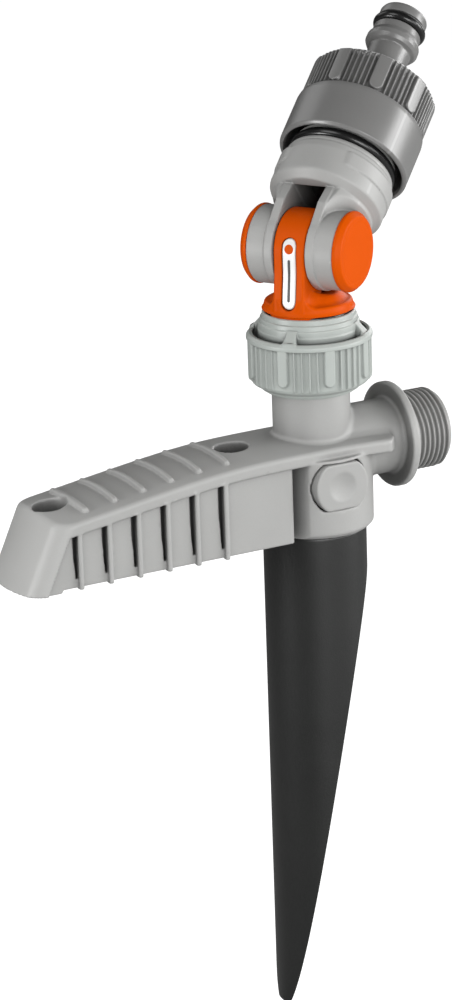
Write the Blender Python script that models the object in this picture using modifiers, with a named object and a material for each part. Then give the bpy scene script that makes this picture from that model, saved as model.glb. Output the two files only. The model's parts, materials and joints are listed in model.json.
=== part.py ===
"""A sprinkler stand for the garden: a gouge-shaped ground spike under a foot step, a tee with a threaded
side inlet, a union nut, a swivel base, and a tilting head that ends in a push-on hose nipple.

World frame: Z is the axis of the spike and of the upright pipe, with z = 0 where the step rests on the
ground. The step points along -X and the threaded inlet along +X. Every size below is in millimetres,
and the helpers turn millimetres into Blender's metres.
"""

import math

import bmesh
import bpy
from mathutils import Matrix, Vector

MM = 0.001
GAP = 0.3                      # between pieces that touch
STEPS = 28                     # sides of a turned piece

# Ground spike
SPIKE_R, SPIKE_NECK_R, SPIKE_WALL = 17.0, 16.2, 2.4
SPIKE_SHOULDER, SPIKE_TOP, SPIKE_TIP = -0.4, 26.6, -167.5
QUILL_START, QUILL_RATE, QUILL_POWER = -12.0, 1.085, 0.68

# Foot step
STEP_HALF, WALL_HALF, STEP_WALL = 17.0, 16.2, 2.4
RIM_BAND, CROWN, TOP_Z = 4.0, 2.0, 29.5
TOE_CORNER, TOE_END, TOE_BOW, TOE_SLOPE = -98.6, -107.6, 3.6, 2.2
WEB_END = 22.5
SIDE_WALL_END = -15.6
BARREL_R, SOCKET_R, SOCKET_TOP = 19.5, 16.5, 27.0
PEG_HOLES, PEG_R = (-29.8, -95.5), 5.7
TOP_RIBS = [-87.8 + 10.0 * i for i in range(6)]
SIDE_RIBS = [-92.6 + 10.36 * i for i in range(6)]

# Tee: the upright pipe and the threaded inlet, G 3/4
PIPE_R, PIPE_BORE, TEE_BOTTOM, UNION_THREAD_TOP = 12.7, 7.5, 14.8, 58.0
THREAD_R, THREAD_CORE, THREAD_PITCH = 13.22, 12.06, 1.814
PORT_Z, PORT_R, PORT_BORE, PORT_END = 25.2, 12.3, 7.1, 45.6
PORT_FLANGE_R, PORT_FLANGE = 17.4, (28.1, 30.8)

# Lock buttons in the barrel
BUTTON_Z, BUTTON_R, BUTTON_FLAT, BUTTON_FACE = 17.4, 9.5, 7.7, 19.9
BUTTON_BACK, BUTTON_CLEAR, BUTTON_HOLLOW = 14.0, 0.6, 4.4
SPRING_R, SPRING_WIRE, SPRING_TURNS = 3.4, 0.35, 4

# Union nut
NUT_BOTTOM, NUT_TOP, NUT_R = 46.7, 72.2, 20.5
NUT_THREAD_BORE, NUT_LIP_BORE = 13.6, 10.8
KNURL_GROUPS, KNURL_RIBS = 8, 4

# Swivel base and pivot
TAIL_BOTTOM, TAIL_R = 60.2, 10.4
FLANGE_R, FLANGE_Z = 14.6, (72.7, 75.6)
PIVOT_Z, PIVOT_AZIMUTH = 92.5, -57.0
TONGUE_HALF, TONGUE_R, TONGUE_DEPTH = 5.65, 12.6, 13.4
BADGE_HALF, BADGE_ENDS, BADGE_DEEP = 2.6, (74.9, 98.2), 1.2
PIN_R, PIN_BORE, PIN_GROOVE_R, PIN_SEAT, PIN_END = 6.8, 4.4, 5.6, 13.7, 14.6
EAR_INNER, EAR_OUTER, HUB_END, CAP_END = 5.95, 8.9, 15.4, 18.2
EAR_R, HUB_R, CAP_R = 13.2, 12.7, 13.0

# Head, along its own axis from the pivot
HEAD_TILT = 50.0               # from upright, at rest
NECK_END, TAP_RIM, TAP_R = 53.0, 34.4, 21.8
KNURL_LOW, KNURL_TOP = 53.4, 64.0
TAP_TOP = 66.0
NIPPLE_TIP, NIPPLE_R, NIPPLE_BORE = 95.2, 8.1, 4.6

GREY, LIGHT, DARK = (0.40, 0.40, 0.39), (0.60, 0.64, 0.61), (0.17, 0.17, 0.17)
ORANGE, BLACK, RUBBER = (0.85, 0.11, 0.005), (0.022, 0.022, 0.022), (0.012, 0.012, 0.012)
WHITE, STEEL, ACETAL = (0.80, 0.80, 0.80), (0.55, 0.55, 0.56), (0.70, 0.70, 0.68)

ALONG_X = Matrix.Rotation(math.pi / 2, 4, "Y")      # turns local Z onto +X
ALONG_Y = Matrix.Rotation(-math.pi / 2, 4, "X")     # turns local Z onto +Y
SIDE_VIEW = Matrix.Rotation(math.pi / 2, 4, "X")    # turns a local XY outline onto XZ, local Z onto -Y
FRONT_VIEW = Matrix.Rotation(math.pi / 2, 4, "Z") @ SIDE_VIEW     # turns an outline onto YZ, local Z onto +X

for old in list(bpy.data.objects):
    bpy.data.objects.remove(old)
parts = bpy.data.collections.new("sprinkler_stand")
cutters = bpy.data.collections.new("cutters")
bpy.context.scene.collection.children.link(parts)
bpy.context.scene.collection.children.link(cutters)


# Helpers -------------------------------------------------------------------------------------------


def shift(x=0.0, y=0.0, z=0.0):
    return Matrix.Translation(Vector((x, y, z)) * MM)


def half_turn(side):
    """Side 1 leaves a shape as it is, and side -1 turns it half round Z, to the other end of Y."""
    return Matrix.Rotation(0.0 if side > 0 else math.pi, 4, "Z")


def frame(name, matrix):
    """An empty whose axes are a joint's own frame. Pieces are its children."""
    empty = bpy.data.objects.new(name, None)
    empty.matrix_world = matrix
    parts.objects.link(empty)
    return empty


def material(name, colour, roughness=0.45, metallic=0.0):
    made = bpy.data.materials.new(name)
    made.use_nodes = True
    shader = made.node_tree.nodes["Principled BSDF"]
    shader.inputs["Base Color"].default_value = (*colour, 1.0)
    shader.inputs["Roughness"].default_value = roughness
    shader.inputs["Metallic"].default_value = metallic
    return made


def tool(mesh, place=Matrix()):
    """A body that is only cut from, joined to or intersected with a piece."""
    made = bpy.data.objects.new("tool", mesh)
    made.matrix_local = place
    made.hide_render = True
    made.display_type = "WIRE"
    cutters.objects.link(made)
    return made


def piece(name, body, parent, colour, roughness=0.45, metallic=0.0):
    """Turns a body into a named piece of the object, in its parent's frame."""
    body.name = name
    body.data.name = name
    body.hide_render = False
    body.display_type = "TEXTURED"
    body.parent = parent
    body.data.materials.append(material(name, colour, roughness, metallic))
    body.data.shade_smooth()
    body.data.set_sharp_from_angle(angle=math.radians(35))
    cutters.objects.unlink(body)
    parts.objects.link(body)
    return body


def apply_modifiers(body):
    graph = bpy.context.evaluated_depsgraph_get()
    mesh = bpy.data.meshes.new_from_object(body.evaluated_get(graph))
    body.modifiers.clear()
    body.data = mesh


def combine(body, operation, *tools):
    """Joins tools to the body, cuts it by them, or keeps what they share. The tools are used up."""
    for other in tools:
        modifier = body.modifiers.new(operation.lower(), "BOOLEAN")
        modifier.operation = operation
        modifier.solver = body.get("solver", "EXACT")
        modifier.object = other
    apply_modifiers(body)
    for other in tools:
        bpy.data.objects.remove(other)
    return body


def join(body, *tools):
    return combine(body, "UNION", *tools)


def cut(body, *tools):
    return combine(body, "DIFFERENCE", *tools)


def turned(outline, place=Matrix(), steps=STEPS):
    """A profile of (radius, height) turned about Z. It runs down the outer side, and back up the inner."""
    count = len(outline)
    closed = outline[0][0] > 0
    mesh = bpy.data.meshes.new("turned")
    edges = [(i, i + 1) for i in range(count - 1)] + ([(count - 1, 0)] if closed else [])
    mesh.from_pydata([(r * MM, 0, z * MM) for r, z in outline], edges, [])
    made = tool(mesh, place)
    screw = made.modifiers.new("screw", "SCREW")
    screw.steps = screw.render_steps = steps
    screw.use_merge_vertices = True
    screw.merge_threshold = 0.01 * MM
    apply_modifiers(made)
    return made


def rod(radius, low, high, place=Matrix(), steps=STEPS):
    return turned([(0, high), (radius, high), (radius, low), (0, low)], place, steps)


def pipe(outer, inner, low, high, place=Matrix(), steps=STEPS):
    return turned([(outer, high), (outer, low), (inner, low), (inner, high)], place, steps)


def block(size, centre, place=Matrix()):
    mesh = bpy.data.meshes.new("block")
    shape = bmesh.new()
    bmesh.ops.create_cube(shape, size=1.0)
    bmesh.ops.scale(shape, vec=Vector(size) * MM, verts=shape.verts)
    bmesh.ops.translate(shape, vec=Vector(centre) * MM, verts=shape.verts)
    shape.to_mesh(mesh)
    shape.free()
    return tool(mesh, place)


def curve_body(points, closed, place, **settings):
    """A poly curve, made solid by its settings and turned into a welded mesh."""
    curve = bpy.data.curves.new("curve", "CURVE")
    spline = curve.splines.new("POLY")
    spline.points.add(len(points) - 1)
    for point, at in zip(spline.points, points):
        point.co = (*(Vector(at).to_3d() * MM), 1.0)
    spline.use_cyclic_u = closed
    for key, value in settings.items():
        setattr(curve, key, value)
    wire = bpy.data.objects.new("curve", curve)
    cutters.objects.link(wire)
    mesh = bpy.data.meshes.new_from_object(wire.evaluated_get(bpy.context.evaluated_depsgraph_get()))
    bpy.data.objects.remove(wire)
    shape = bmesh.new()
    shape.from_mesh(mesh)
    bmesh.ops.remove_doubles(shape, verts=shape.verts, dist=0.001 * MM)
    bmesh.ops.recalc_face_normals(shape, faces=shape.faces)
    shape.to_mesh(mesh)
    shape.free()
    return tool(mesh, place)


def plate(outline, low, high, place=Matrix()):
    """A flat outline in XY, filled and extruded from low to high along Z."""
    lift = shift(z=(low + high) / 2)
    return curve_body(outline, True, place @ lift, dimensions="2D", fill_mode="BOTH", extrude=(high - low) / 2 * MM)


def wire_body(points, radius, resolution=2, closed=False, place=Matrix()):
    """A round wire through the points."""
    return curve_body(points, closed, place, dimensions="3D", bevel_depth=radius * MM,
                      bevel_resolution=resolution, use_fill_caps=not closed)


def arc(radius, start, end, count, centre=(0.0, 0.0)):
    """Points on an arc, from start to end degrees."""
    angles = [math.radians(start + (end - start) * i / (count - 1)) for i in range(count)]
    return [(centre[0] + radius * math.cos(a), centre[1] + radius * math.sin(a)) for a in angles]


def polar(radius, angle):
    return [(radius * math.cos(math.radians(angle)), radius * math.sin(math.radians(angle)))]


def stadium(half_width, low, high, count=7):
    """A slot outline with round ends, upright in XY."""
    top = arc(half_width, 0, 180, count, (0, high - half_width))
    return top + arc(half_width, 180, 360, count, (0, low + half_width))


def loft_along_x(stations, section, place=Matrix()):
    """A solid through one closed section of (y, z) at each x. All sections have the same points."""
    mesh = bpy.data.meshes.new("loft")
    shape = bmesh.new()
    rings = [[shape.verts.new(Vector(point) * MM) for point in section(x)] for x in stations]
    for ring, after in zip(rings, rings[1:]):
        for i in range(len(ring)):
            j = (i + 1) % len(ring)
            shape.faces.new((ring[i], ring[j], after[j], after[i]))
    shape.faces.new(rings[0])
    shape.faces.new(rings[-1])
    bmesh.ops.recalc_face_normals(shape, faces=shape.faces)
    shape.to_mesh(mesh)
    shape.free()
    return tool(mesh, place)


def ring_of_wire(major, minor, height, place=Matrix(), steps=STEPS, sides=10):
    """A torus about Z, for an O-ring."""
    outline = arc(minor, 90, 90 - 360 * (sides - 1) / sides, sides, (major, height))
    return turned(outline, place, steps)


def thread_profile(low, high, crest, root, pitch):
    """The outer side of a male thread, from top to bottom, drawn as rings."""
    tops = [high - i * pitch for i in range(int((high - low) / pitch))]
    return [point for top in tops for point in ((root, top), (crest, top - pitch / 2))]


# Foot step and tee, one moulding -------------------------------------------------------------------


def edge_height(x):
    """Height of the step's long upper edges: level over the barrel, then sloping down to the toe."""
    if x < TOE_CORNER:
        return toe_line(x)
    if x > 0:
        return TOP_Z - 0.0015 * x * x
    bend = 8.0
    return TOP_Z - 0.147 * bend * math.log1p(math.exp((-x - 38.0) / bend))


def floor_height(x):
    """Height of the lower edge: the ground, with a lip that dips 1 mm under the toe."""
    return -1.0 * min(1.0, max(0.0, (-x - 98.0) / 4.0))


def bowed(x, y):
    """The toe is bowed outwards across its width."""
    near_toe = min(1.0, max(0.0, (-x - 86.0) / 12.0))
    return x - TOE_BOW * (1 - (y / STEP_HALF) ** 2) * near_toe


def crowned(half, edge, rise, count=7):
    """Points over the top from -half to +half, with the middle raised."""
    ys = [-half + 2 * half * i / (count - 1) for i in range(count)]
    return [(y, edge + rise * (1 - (y / half) ** 2)) for y in ys]


def half_width(x, half):
    """The long edges turn in with a small radius at the toe and at the end of the webs."""
    from_end = min(x - TOE_END, WEB_END - x)
    radius = 3.0
    if from_end >= radius:
        return half
    return half - 1.6 * (1 - from_end / radius) ** 2


def toe_line(x):
    """The slope of the toe's face, carried on past the toe's corner."""
    return edge_height(TOE_CORNER) + (x - TOE_CORNER) * TOE_SLOPE


def arm_section(x):
    top, low, half = edge_height(x), floor_height(x), half_width(x, STEP_HALF)
    under = max(min(top - RIM_BAND, toe_line(x) - RIM_BAND * math.hypot(1, TOE_SLOPE)), low + 0.2)
    wall = half - (STEP_HALF - WALL_HALF)
    over = crowned(half, top, CROWN * min(1.0, (top - low) / 20.0))
    outline = [(-wall, low), (-wall, under), (-half, under), *over, (half, under), (wall, under), (wall, low)]
    return [(bowed(x, y), y, z) for y, z in outline]


def hollow_section(x):
    top = min(edge_height(x), toe_line(x - 3.0)) - STEP_WALL
    half = WALL_HALF - STEP_WALL
    outline = [(-half, -5.0), *crowned(half, max(top, -4.0), CROWN * 0.7), (half, -5.0)]
    return [(bowed(x, y) + 0.2, y, z) for y, z in outline]


def cover_section(x):
    top, half = edge_height(x), half_width(x, STEP_HALF)
    return [(x, y, z) for y, z in [(-half, top - RIM_BAND), *crowned(half, top, CROWN), (half, top - RIM_BAND)]]


def make_foot_step(stand):
    toe = [TOE_END, TOE_END + 1.2, TOE_CORNER - 5.5, TOE_CORNER - 2.5, TOE_CORNER - 0.7, TOE_CORNER + 0.8]
    along = [TOE_CORNER + 2.6, -90, -84, -76, -68, -60, -52, -44, -38, -32, -24]
    body = loft_along_x([*toe, *along, SIDE_WALL_END], arm_section)
    body["solver"] = "MANIFOLD"     # EXACT leaves open edges where the tee's crossing pipes meet the barrel
    hollow = loft_along_x([-106.2, -104.0, -100.5, -97.5, *along[1:], -17.0], hollow_section)
    cover = loft_along_x([-20, -12, -4, 4, 12, 18, WEB_END - 2.4, WEB_END - 1, WEB_END], cover_section)
    cut(body, hollow)
    join(body, cover)
    port = shift(z=PORT_Z) @ ALONG_X
    # The barrel takes the spike from below, and the tee's lower end hangs inside it.
    join(body, turned([(0, 26.4), (BARREL_R - 0.6, 26.4), (BARREL_R, 25.8), (BARREL_R, 1.4), (BARREL_R - 1.4, 0),
                       (0, 0)], steps=40))
    cut(body, rod(SOCKET_R, -1, SOCKET_TOP))
    join(body, rod(PIPE_BORE + 2.5, TEE_BOTTOM, 30, steps=24))
    join(body, rod(PORT_BORE + 2.5, 1, 20, port, 26))
    # The thread inside the union nut is plain, at its outer radius.
    upright = [(0, UNION_THREAD_TOP), (THREAD_CORE, UNION_THREAD_TOP), (THREAD_R, UNION_THREAD_TOP - 1.2),
               (THREAD_R, 48.2), (PIPE_R, 47.6), (PIPE_R, 31.6), (PIPE_R + 0.9, 29.5), (0, 29.5)]
    join(body, turned(upright))
    inlet = [(0, PORT_END), (THREAD_CORE, PORT_END)]
    inlet += thread_profile(PORT_FLANGE[1] + 0.8, PORT_END - 0.5, THREAD_R, THREAD_CORE, THREAD_PITCH)
    inlet += [(THREAD_CORE, PORT_FLANGE[1]), (PORT_FLANGE_R, PORT_FLANGE[1]), (PORT_FLANGE_R, PORT_FLANGE[0] + 0.6)]
    inlet += [(PORT_FLANGE_R - 0.6, PORT_FLANGE[0]), (PORT_R + 1.2, PORT_FLANGE[0]), (PORT_R, PORT_FLANGE[0] - 1.2)]
    inlet += [(PORT_R, 17.6), (0, 17.6)]
    join(body, turned(inlet, port))
    # Above the barrel the side pipe runs on into the upright pipe.
    join(body, combine(rod(PORT_R, 9.0, 18.4, port), "INTERSECT", block((30, 40, 20), (14, 0, 38.4))))
    cut(body, rod(PIPE_BORE, TEE_BOTTOM + 2.6, 60, steps=24))
    cut(body, rod(PORT_BORE, 1, 60, port, 26))
    cut(body, rod(9.0, 31, 60, port, 26))
    for x in PEG_HOLES:
        join(body, rod(PEG_R + 1.7, 11.0, edge_height(x) - 1.0, shift(x=x), 20))
        cut(body, rod(PEG_R, -5, 40, shift(x=x), 20))
    for x in TOP_RIBS:
        outline = [(bowed(x, y), y, z) for y, z in crowned(STEP_HALF, edge_height(x), CROWN, 9)[1:-1]]
        join(body, wire_body(outline, 0.95, 0))
    for x in SIDE_RIBS:
        for side in (-1, 1):
            high = edge_height(x) - RIM_BAND + 0.3
            join(body, rod(1.25, -0.9, high, shift(x=bowed(x, WALL_HALF), y=side * (WALL_HALF + 0.1)), 6))
    for side in (1, -1):
        window = BUTTON_R + BUTTON_CLEAR
        face = shift(z=BUTTON_Z) @ half_turn(side) @ ALONG_Y
        hole = combine(rod(window, 13.0, 22.0, face, 24), "INTERSECT",
                       block((40, 2 * (BUTTON_FLAT + BUTTON_CLEAR), 60), (0, 0, 10), face))
        cut(body, hole)
        join(body, rod(SPRING_R + 0.5, 8.6, 10.8, face, 12))
    return piece("foot_step", body, stand, GREY, 0.5)


def make_spike(stand):
    """A tube that is cut away on the inlet's side, like a quill, so that it parts the soil."""
    body = turned([(SPIKE_NECK_R, SPIKE_TOP), (SPIKE_NECK_R, SPIKE_SHOULDER), (SPIKE_R, SPIKE_SHOULDER),
                   (SPIKE_R, SPIKE_TIP), (SPIKE_R - SPIKE_WALL, SPIKE_TIP), (SPIKE_R - SPIKE_WALL, -4.0),
                   (SPIKE_NECK_R - SPIKE_WALL, -2.0), (SPIKE_NECK_R - SPIKE_WALL, SPIKE_TOP)])
    depths = [QUILL_START - d for d in (0, 0.6, 2, 5, 10, 18, 30, 45, 62, 82, 104, 128, 150)] + [SPIKE_TIP - 1]
    edge = [(SPIKE_R - QUILL_RATE * (QUILL_START - z) ** QUILL_POWER, z) for z in depths]
    away = [(30, QUILL_START), *edge, (30, SPIKE_TIP - 1)]
    cut(body, plate(away, -30, 30, SIDE_VIEW))
    # Above the ground it clears the inlet pipe and carries the two button windows.
    cut(body, block((30, 2 * (PIPE_BORE + 3.2), 30), (15, 0, PORT_Z - 0.3)))
    for side in (1, -1):
        face = shift(z=BUTTON_Z) @ half_turn(side) @ ALONG_Y
        window = combine(rod(BUTTON_R + 0.3, 5, 22, face, 24), "INTERSECT",
                         block((40, 2 * (BUTTON_FLAT + 0.3), 60), (0, 0, 10), face))
        cut(body, window)
    return piece("ground_spike", body, stand, BLACK, 0.5)


def make_lock(stand, side, name):
    """A push button in the barrel's window, with its return spring behind it."""
    face = shift(z=BUTTON_Z) @ half_turn(side) @ ALONG_Y
    dish = [(0, BUTTON_FACE - 0.9), (4.7, BUTTON_FACE), (BUTTON_R - 0.5, BUTTON_FACE),
            (BUTTON_R, BUTTON_FACE - 0.5), (BUTTON_R, BUTTON_BACK),
            (BUTTON_HOLLOW, BUTTON_BACK), (BUTTON_HOLLOW, BUTTON_FACE - 2.6), (0, BUTTON_FACE - 2.6)]
    body = turned(dish, face, 24)
    combine(body, "INTERSECT", block((40, 2 * BUTTON_FLAT, 40), (0, 0, 10), face))
    # The foot hooks behind the spike's tube, so that the button can't fall out. Local Y is down.
    join(body, block((8.0, 4.4, 1.2), (0, BUTTON_FLAT + 1.2, 12.2), face))
    join(body, block((8.0, 2.4, 3.4), (0, BUTTON_FLAT - 1.4, 13.3), face))
    piece(f"lock_button_{name}", body, stand, GREY, 0.45)
    low, high = 10.8 + GAP + SPRING_WIRE, BUTTON_FACE - 2.6 - GAP - SPRING_WIRE
    count = SPRING_TURNS * 10
    coil = []
    for i in range(count + 1):
        turn = 2 * math.pi * SPRING_TURNS * i / count
        coil.append((SPRING_R * math.cos(turn), SPRING_R * math.sin(turn), low + (high - low) * i / count))
    piece(f"lock_spring_{name}", wire_body(coil, SPRING_WIRE, 0, place=face), stand, STEEL, 0.3, 1.0)


# Union nut -----------------------------------------------------------------------------------------


def knurl_outline(radius, groups, ribs, bar_share, rib_rise, bar_rise):
    """One broad bar and a few thin ribs, repeated round a circle."""
    points = []
    pitch = 360.0 / groups
    for group in range(groups):
        start = group * pitch
        bar = pitch * bar_share
        points += arc(radius + bar_rise, start, start + bar, 3)
        gap = (pitch - bar) / (ribs + 0.5)
        for rib in range(ribs):
            at = start + bar + gap * (rib + 0.25)
            points += polar(radius, at) + polar(radius + rib_rise, at + gap * 0.48) + polar(radius, at + gap * 0.95)
        points += polar(radius, start + pitch - 0.3)
    return points


def make_union_nut(stand):
    outline = [(14.9, NUT_TOP), (15.6, 71.6), (15.7, 70.2), (16.3, 69.6), (16.4, 68.0), (17.0, 67.0), (17.2, 63.2),
               (18.8, 63.2), (19.1, 64.6), (19.8, 64.8), (NUT_R, 63.6), (NUT_R, 62.4), (19.8, 61.6), (19.5, 51.0),
               (19.2, 50.0), (15.4, NUT_BOTTOM), (NUT_THREAD_BORE, NUT_BOTTOM),
               (NUT_THREAD_BORE, 63.4), (NUT_LIP_BORE, 63.4), (NUT_LIP_BORE, 69.9), (14.2, 69.9), (14.2, NUT_TOP)]
    body = turned(outline, steps=32)
    grip = plate(knurl_outline(19.4, KNURL_GROUPS, KNURL_RIBS, 0.36, 0.6, 0.9), 50.4, 62.2)
    cut(grip, rod(17.5, 40, 70))
    join(body, grip)
    for quarter in range(4):
        turn = Matrix.Rotation(math.radians(38 + 90 * quarter), 4, "Z")
        join(body, block((2.6, 4.6, 2.4), (18.2, 0, 64.2), turn))
    return piece("union_nut", body, stand, LIGHT, 0.45)


def make_union_washer(stand):
    washer = pipe(12.9, 8.6, UNION_THREAD_TOP + GAP, TAIL_BOTTOM - GAP)
    return piece("union_washer", washer, stand, RUBBER, 0.7)


# Swivel base ---------------------------------------------------------------------------------------
# Local X faces away from the head's lean, local Y is the pivot's axis, and local Z is up.


def make_swivel_base(base):
    low, high = FLANGE_Z
    outline = [(0, 80.5), (10.6, 80.5), (11.8, 77.8), (13.9, 76.4), (FLANGE_R, high - 0.6), (FLANGE_R, low + 1.0),
               (13.9, low + 0.2), (12.0, low), (TAIL_R, low), (TAIL_R, 62.9), (12.9, 62.9), (12.9, TAIL_BOTTOM),
               (0, TAIL_BOTTOM)]
    body = turned(outline)
    # The tongue stands on the flange, with hollow fillets at its sides and a round top.
    side = [(TONGUE_HALF, 106), *[(TONGUE_HALF + 4.4 - x, y) for x, y in arc(4.4, 0, -80, 4, (0, 81.6))],
            (10.6, 77.0), (10.6, 73.6)]
    across = side + [(-x, y) for x, y in reversed(side)]
    tongue = plate(across, -TONGUE_DEPTH, TONGUE_DEPTH, FRONT_VIEW)
    over = arc(TONGUE_R, -10, 190, 17, (0, PIVOT_Z))
    arch = [(TONGUE_DEPTH, 73.6), (TONGUE_DEPTH, 83.0), *over, (-TONGUE_DEPTH, 83.0), (-TONGUE_DEPTH, 73.6)]
    combine(tongue, "INTERSECT", plate(arch, -12, 12, SIDE_VIEW))
    combine(tongue, "INTERSECT", rod(14.4, 60, 110))
    join(body, tongue)
    # Room for the drums of the clevis beside the tongue.
    pivot = shift(z=PIVOT_Z) @ ALONG_Y
    cut(body, rod(EAR_R + 0.9, TONGUE_HALF + 0.01, 20, pivot), rod(EAR_R + 0.9, -20, -TONGUE_HALF - 0.01, pivot))
    cut(body, rod(PIN_R + 0.25, -8, 8, pivot, 32), rod(5.6, 55, PIVOT_Z - 3, steps=24))
    cut(body, badge_shape(0.0, 4.0))
    return piece("swivel_base", body, base, ORANGE, 0.32)


def badge_shape(inset, proud):
    """The badge's slot, or with an inset the badge itself: a slot outline bent over the tongue's front."""
    low, high = BADGE_ENDS
    out = TONGUE_R + proud
    deep = TONGUE_R - BADGE_DEEP + inset
    front = TONGUE_DEPTH - TONGUE_R
    band = [(out + front, low - 5), (out + front, 83.0), *arc(out, -10, 60, 12, (0, PIVOT_Z)),
            *arc(deep, 60, -10, 12, (0, PIVOT_Z)), (deep + front, 83.0), (deep + front, low - 5)]
    slot = plate(stadium(BADGE_HALF - inset, low + inset, high - inset), 5, 25, FRONT_VIEW)
    return combine(slot, "INTERSECT", plate(band, -8, 8, SIDE_VIEW))


def make_badge(base):
    return piece("badge_insert", badge_shape(GAP, -0.15), base, WHITE, 0.35)


def make_base_seal(base):
    seal = turned([(13.6, 72.3), (13.9, 71.9), (13.9, 70.7), (13.5, 70.3), (10.8, 70.3), (10.8, 72.3)])
    return piece("swivel_dust_seal", seal, base, RUBBER, 0.6)


# Head ----------------------------------------------------------------------------------------------
# Local Z is the head's axis, local Y the pivot's axis, and the origin is on the pivot.


def make_clevis(head):
    outline = [(0, 33.0), (17.6, 33.0), (17.7, 31.9), (18.3, 31.6), (19.2, 27.0), (19.4, 19.0), (18.4, 16.2), (0, 16.2)]
    body = turned(outline, steps=32)
    ear = [*arc(EAR_R, 160, 380, 15), (17.2, 18.0), (17.2, 22.0), (-17.2, 22.0), (-17.2, 18.0)]
    for side in (1, -1):
        face = half_turn(side) @ SIDE_VIEW
        blank = plate(ear, -EAR_OUTER, -EAR_INNER, face)
        join(body, blank)
        join(body, rod(HUB_R, EAR_OUTER - 0.5, HUB_END, half_turn(side) @ ALONG_Y))
        # The raised pads where the ears run out under the body's sides.
        pad = block((26.0, 5.6, 7.0), (0, side * 15.4, 18.6))
        join(body, combine(pad, "INTERSECT", rod(20.1, 0, 30, steps=32)))
    neck = [(0, NECK_END), (THREAD_CORE, NECK_END), (THREAD_R, NECK_END - 1.2), (THREAD_R, 41.0), (12.9, 40.0),
            (14.4, 39.6), (14.4, 36.9), (16.9, 36.6), (16.9, 35.6), (15.0, 35.4), (15.0, 32.5), (0, 32.5)]
    join(body, turned(neck))
    pivot = ALONG_Y
    for side in (1, -1):
        drum = half_turn(side) @ pivot
        cut(body, rod(PIN_R + 0.25, EAR_INNER - 1, HUB_END + 1, drum, 32), rod(9.2, 13.4, HUB_END + 1, drum, 32))
        # A flat water channel climbs inside the ear.
        cut(body, block((10.0, 1.3, 21.0), (0, side * (EAR_INNER + EAR_OUTER) / 2, 14.5)))
    cut(body, rod(7.5, 22.0, NECK_END + 2, steps=32))
    cut(body, block((8.0, 17.0, 3.0), (0, 0, 23.6)))
    return piece("clevis", body, head, GREY, 0.45)


def make_pivot(head):
    """The hollow hinge pin: water comes up through the tongue into it and leaves through the ears."""
    groove = [(PIN_R, 12.2), (PIN_GROOVE_R, 12.2), (PIN_GROOVE_R, 10.2), (PIN_R, 10.2)]
    below = [(r, -z) for r, z in reversed(groove)]
    body = turned([(0, PIN_END), (PIN_R, PIN_END), *groove, *below, (PIN_R, -PIN_SEAT), (8.6, -PIN_SEAT),
                   (8.6, -PIN_END), (0, -PIN_END)], ALONG_Y, 24)
    cut(body, rod(PIN_BORE, -9.6, 9.6, ALONG_Y, 20))
    for y, width in ((0.0, 6.0), ((EAR_INNER + EAR_OUTER) / 2, 2.0), (-(EAR_INNER + EAR_OUTER) / 2, 2.0)):
        cut(body, block((4.0, width, 20), (0, y, 0)), block((20, width, 4.0), (0, y, 0)))
    return piece("pivot_pin", body, head, ACETAL, 0.35)


def make_head_pieces(head):
    for side, name in ((1, "front"), (-1, "rear")):
        drum = half_turn(side) @ ALONG_Y
        seal = ring_of_wire(6.2, 0.5, 11.2, drum, 20, 6)
        piece(f"pivot_o_ring_{name}", seal, head, RUBBER, 0.6)
        cap = [(0, CAP_END), (10.6, CAP_END), (12.1, CAP_END - 0.5), (CAP_R, CAP_END - 1.7), (CAP_R, HUB_END + GAP),
               (8.9, HUB_END + GAP), (8.9, PIN_END + GAP), (0, PIN_END + GAP)]
        piece(f"pivot_cap_{name}", turned(cap, drum, 24), head, ORANGE, 0.32)
    clip = pipe(8.8, PIN_R + 0.25, PIN_SEAT, 14.5, ALONG_Y, 32)
    cut(clip, block((3.0, 6.0, 4.0), (8.0, 14.0, 0)))
    piece("pivot_retaining_clip", clip, head, STEEL, 0.3, 1.0)
    piece("neck_o_ring", ring_of_wire(16.5, 1.1, 34.3, steps=28, sides=6), head, RUBBER, 0.5)


# Quick-connect end ---------------------------------------------------------------------------------


def make_tap_nut(head):
    outline = [(18.9, TAP_TOP), (19.9, 65.4), (20.3, KNURL_TOP), (19.7, 63.6), (19.7, KNURL_LOW + 0.4),
               (21.2, KNURL_LOW), (TAP_R, 51.6), (TAP_R, 35.6), (TAP_R - 0.5, TAP_RIM), (20.3, TAP_RIM),
               (19.6, 35.4), (19.6, 38.2), (18.2, 40.0), (13.6, 40.6), (13.6, 58.4), (9.3, 58.4), (9.3, TAP_TOP)]
    body = turned(outline, steps=32)
    grip = plate(knurl_outline(19.6, KNURL_GROUPS, 5, 0.34, 0.9, 1.1), KNURL_LOW - 0.2, KNURL_TOP)
    cut(grip, rod(17.0, 40, 70))
    join(body, grip)
    return piece("tap_nut", body, head, DARK, 0.38)


def make_nipple(head):
    outline = [(5.9, NIPPLE_TIP), (7.6, 94.8), (NIPPLE_R, 94.0), (NIPPLE_R, 91.4), (6.0, 91.4), (6.0, 87.8),
               (NIPPLE_R, 87.8), (NIPPLE_R, 85.2), (8.9, 83.6), (9.0, 81.6), (8.4, 80.6), (7.1, 79.8), (6.9, 73.5),
               (7.6, 67.2), (8.9, 65.0), (8.9, 58.1), (12.8, 58.1), (12.8, 55.0), (NIPPLE_BORE, 55.0),
               (NIPPLE_BORE, NIPPLE_TIP)]
    return piece("hose_nipple", turned(outline, steps=24), head, DARK, 0.35)


def make_quick_connect(head):
    make_tap_nut(head)
    make_nipple(head)
    piece("tap_washer", pipe(12.9, 7.8, NECK_END + GAP, 55.0 - GAP), head, RUBBER, 0.7)
    piece("nipple_o_ring", ring_of_wire(7.35, 1.15, 89.6, steps=24, sides=6), head, RUBBER, 0.5)


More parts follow.
